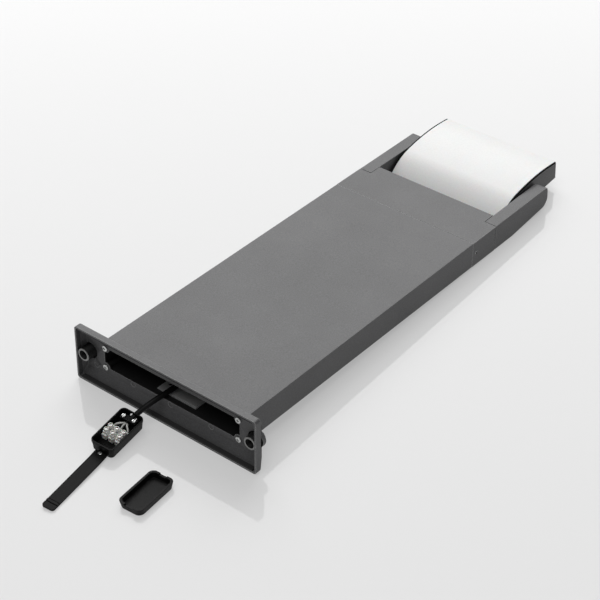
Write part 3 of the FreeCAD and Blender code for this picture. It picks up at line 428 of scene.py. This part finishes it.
def screw(name, axis, start, head_radius, head_high, shank_radius, length, drive="hex"):
    """A screw whose head ends where its shank starts, with a domed head and a recess."""
    head = rod(name, "z", (0, 0, -head_high), head_radius, head_high, 32)
    only(head, "EDIT")
    pick("FACE", lambda m, n: n.z < -0.9)
    bpy.ops.mesh.bevel(offset=head_high * 0.35, segments=3, affect="EDGES")
    done()
    if drive == "hex":
        recess = rod("recess", "z", (0, 0, -head_high - 1), head_radius * 0.5, 1 + head_high * 0.6, 6)
        cut(head, recess)
    else:
        wide = head_radius * 0.16
        top, bed = -head_high - 1, -head_high * 0.55
        cut(head, cube("slot", (-head_radius * 2, -wide, top), (head_radius * 2, wide, bed)))
        if drive == "cross":
            across = head_radius * 0.62
            cut(head, cube("slot", (-wide, -across, top), (wide, across, bed)))
    shank = rod(name + "_shank", "z", (0, 0, -0.1), shank_radius, length + 0.1, 24)
    whole = merge(name, [head, shank])
    smooth(whole, 32)
    turn = {"x": Matrix.Rotation(math.pi / 2, 4, "Y"), "-z": Matrix.Rotation(math.pi, 4, "X"),
            "y": Matrix.Rotation(-math.pi / 2, 4, "X"), "-y": Matrix.Rotation(math.pi / 2, 4, "X")}[axis]
    whole.matrix_world = Matrix.Translation(start) @ turn
    only(whole)
    bpy.ops.object.transform_apply(location=True, rotation=True, scale=True)
    return whole


def copies(name, pattern, spots):
    """The pattern copied to each spot, as one object; the pattern itself is removed."""
    made = []
    for i, spot in enumerate(spots):
        twin = bpy.data.objects.new(f"{name}_{i}", pattern.data.copy())
        bpy.context.scene.collection.objects.link(twin)
        twin.location = spot
        only(twin)
        bpy.ops.object.transform_apply(location=True, rotation=True, scale=True)
        made.append(twin)
    bpy.data.objects.remove(pattern)
    return merge(name, made)


def lamp_screws():
    """Four screws in the foot and one set screw in each side of the collar."""
    corners = [(0, y, z) for y in (-84, 84) for z in (3.5, 26.5)]
    one = screw("foot_screw", "x", (10.8, 0, 0), 3.3, 1.2, 1.9, 15.5)
    put(copies("foot_screws", one, corners), zinc_steel, "post", LAMP, ["base_screws"])
    pair = [
        screw("set_screw_right", "y", (386, -87.2, 15), 1.95, 2.2, 1.5, 5),
        screw("set_screw_left", "-y", (386, 87.2, 15), 1.95, 2.2, 1.5, 5),
    ]
    put(merge("set_screws", pair), zinc_steel, "post", LAMP, ["collar_set_screws"])


def sleeves():
    """Threaded bushes: chamfered mouths and thread rings inside and out."""
    turns = 12
    pitch = (SLEEVE_LONG - 1.4) / turns
    for side, sign in (("left", 1), ("right", -1)):
        mouth = SLEEVE_MOUTHS[side]
        end = mouth + SLEEVE_LONG
        profile = [(mouth, 5.0), (mouth, 6.6), (mouth + 0.5, 7.1)]
        for i in range(turns):
            at = mouth + 0.7 + i * pitch
            profile += [(at, 7.15), (at + pitch / 2, 6.75)]
        profile += [(end - 0.6, 7.1), (end, 6.6), (end, 5.0)]
        for i in range(turns):
            at = end - 0.7 - i * pitch
            profile += [(at, 4.25), (at - pitch / 2, 4.7)]
        profile += [(mouth, 5.0)]
        piece = lathe(f"sleeve_{side}", profile)
        smooth(piece, 25)
        spot = LAMP @ Matrix.Translation((0, sign * SLEEVE_OFF_MIDDLE, SLEEVE_HIGH))
        # The bore and the outer thread beyond the mouth get painted shade.
        put(piece, sleeve_steel_painted_shade, f"{side}_sleeve", spot, [f"levelling_sleeve_{side}"],
            thread_painted_shade,
            lambda m, n: math.hypot(m.y, m.z) < 4.98 or (math.hypot(m.y, m.z) > 6.7 and m.x > mouth + 0.4))


def inside_the_post():
    """The carrier tray and the blank plate on it."""
    tray = from_frame("carrier_tray", LAMP)
    ease(tray, 0.3)
    put(tray, mill_aluminium, "post", LAMP, ["carrier_tray"])
    plate = from_frame("rating_plate", LAMP)
    put(plate, plate_film, "post", LAMP, ["rating_plate"])


# ------------------------------------------------------------------ cable and box


def cable_curve(name, points, radius):
    """A smooth cable through the given points."""
    data = bpy.data.curves.new(name, "CURVE")
    data.dimensions = "3D"
    line = data.splines.new("NURBS")
    line.points.add(len(points) - 1)
    for point, spot in zip(line.points, points):
        point.co = (*spot, 1)
    line.order_u = 3
    line.use_endpoint_u = True
    line.resolution_u = 12
    data.bevel_depth = radius
    data.bevel_resolution = 8
    data.use_fill_caps = True
    made = bpy.data.objects.new(name, data)
    bpy.context.scene.collection.objects.link(made)
    return made


def supply_cable():
    """The cable from the driver out of the foot to the clamp in the supply box."""
    inside = ((66, 8.5, 8.15), (44, 8.5, 8.15), (20, 8.5, 8.15), (-3, 13.4, 4.6))
    stops = [LAMP @ Vector(p) for p in inside]
    stops += [BOX @ Vector(p) for p in ((26.65, 0, 6.9), (13.15, 0, 6.9))]
    route = [p * MM for p in stops]
    cable = cable_curve("supply_cable_drawn", route, 2.75 * MM)
    cable.data.materials.append(cable_rubber)
    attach(cable, "post")
    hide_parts("supply_cable")
    return cable, route


def core_wires():
    """Three cores that fan out from the clamp into the terminal block."""
    wires = []
    for i in (-1, 0, 1):
        points = [BOX @ Vector(p) for p in ((13, 1.5 * i, 7.2), (10.4, 2.4 * i, 9.6))]
        points += [BLOCK @ Vector(p) for p in ((9.6, POLE * i, 9.6), (7.9, POLE * i, 7), (4.4, POLE * i, 7))]
        wire = cable_curve(f"core_{i + 1}", points, 0.9)
        only(wire)
        bpy.ops.object.convert(target="MESH")
        wires.append(bpy.context.object)
    whole = merge("core_wires_drawn", wires)
    smooth(whole, 40)
    put(whole, core_insulation, "post", Matrix(), ["core_wires"])


def supply_box():
    """The open box with its cable clamp and terminal block."""
    box = from_frame("junction_box", BOX)
    ease(box, 0.4)
    put(box, black_polyamide, "post", BOX, ["junction_box"])
    bar = from_frame("strain_relief_bar", BOX)
    ease(bar, 0.4)
    put(bar, black_polyamide, "post", BOX, ["strain_relief_bar"])
    one = screw("relief_screw", "-z", (0, 0, 10.7), 2.25, 1.35, 1.2, 7, "cross")
    pair = copies("relief_screws_drawn", one, [(17.15, 6.1, 0), (17.15, -6.1, 0)])
    put(pair, zinc_steel, "post", BOX, ["strain_relief_screws"])
    block = from_frame("terminal_block", BLOCK)
    ease(block, 0.3)
    put(block, white_polyamide, "post", BLOCK, ["terminal_block"])
    one = screw("terminal_screw", "-z", (0, 0, 12.6), 1.55, 1.3, 1.2, 1.5, "slot")
    spots = [(x, POLE * i, 0) for x in (-3.1, 3.1) for i in (-1, 0, 1)]
    screws = copies("terminal_screws_drawn", one, spots)
    put(screws, zinc_steel, "post", BLOCK, ["terminal_screws"])


def strap():
    """The flat strap and the screw that holds it to the box."""
    piece = from_frame("pull_strap", STRAP)
    ease(piece, 0.25)
    put(piece, strap_plastic, "post", STRAP, ["pull_strap"])
    one = screw("strap_screw_drawn", "-z", (0, 0, 3.5), 2.15, 1.3, 1.2, 3.2, "cross")
    put(one, zinc_steel, "post", STRAP, ["strap_screw"])


def lid():
    """The box's lid, lying hollow side up."""
    piece = from_frame("junction_box_lid", LID)
    ease(piece, 0.4)
    put(piece, black_polyamide, "lid", LID, ["junction_box_lid"])


foot()
post_and_collar()
arms()
head()
lamp_screws()
sleeves()
inside_the_post()
cable, route = supply_cable()
core_wires()
supply_box()
strap()
lid()

# Frame pieces that keep their own shape get their finishes.
KEPT = {
    "base_seal": rubber_strip, "head_grommet": silicone, "head_lead": cable_rubber,
    "cable_clamp": black_polyamide, "joiner_block": mill_aluminium, "led_board": mill_aluminium,
    "led_driver": white_polyamide, "driver_lugs": white_polyamide, "leds": white_polyamide,
    "friction_washer_left": pressed_fibre, "friction_washer_right": pressed_fibre,
    "arm_screws": zinc_steel, "cheek_screws": zinc_steel, "driver_screws": zinc_steel,
    "cable_clamp_screws": zinc_steel, "pivot_pin_left": zinc_steel, "pivot_pin_right": zinc_steel,
}
for name, material in KEPT.items():
    nodes[name].data.materials.clear()
    nodes[name].data.materials.append(material)

# ------------------------------------------------------------------ floor, light and camera

floor = primitive("floor", "plane", size=8, location=(0.3, 0.3, 0))
floor_finish = finish(
    "floor_white", Base_Color=paint("#a2a2a2"), Roughness=0.05, Specular_IOR_Level=0.22,
    Emission_Color=(1, 1, 1, 1), Emission_Strength=0.38)[0]
floor.data.materials.append(floor_finish)

world = bpy.data.worlds.new("studio")
bpy.context.scene.world = world
world.use_nodes = True
world.node_tree.nodes["Background"].inputs["Color"].default_value = (0.8, 0.8, 0.8, 1)
world.node_tree.nodes["Background"].inputs["Strength"].default_value = 0.24


def softbox(name, place, aim, width, height, power):
    """A large soft light at place, turned towards aim."""
    bpy.ops.object.select_all(action="DESELECT")
    bpy.ops.object.light_add(type="AREA", location=place)
    lamp = bpy.context.object
    lamp.name = name
    lamp.data.shape = "RECTANGLE"
    lamp.data.size, lamp.data.size_y = width, height
    lamp.data.energy = power
    lamp.rotation_euler = (Vector(aim) - Vector(place)).to_track_quat("-Z", "Y").to_euler()


softbox("light_behind", (2.3, 1.9, 2.6), (0, 0, 0), 4.0, 3.0, 138)
softbox("light_over", (-0.75, -0.1, 2.5), (0, 0, 0), 2.0, 2.0, 25)

bpy.ops.object.camera_add(
    location=(-1.19197, -0.91861, 1.14209),
    rotation=[math.radians(a) for a in (52.2346, 0.7504, -51.082)])
camera = bpy.context.object
camera.data.lens = 108.95
camera.data.sensor_width = 36
bpy.context.scene.camera = camera
bpy.context.scene.view_settings.view_transform = "Standard"
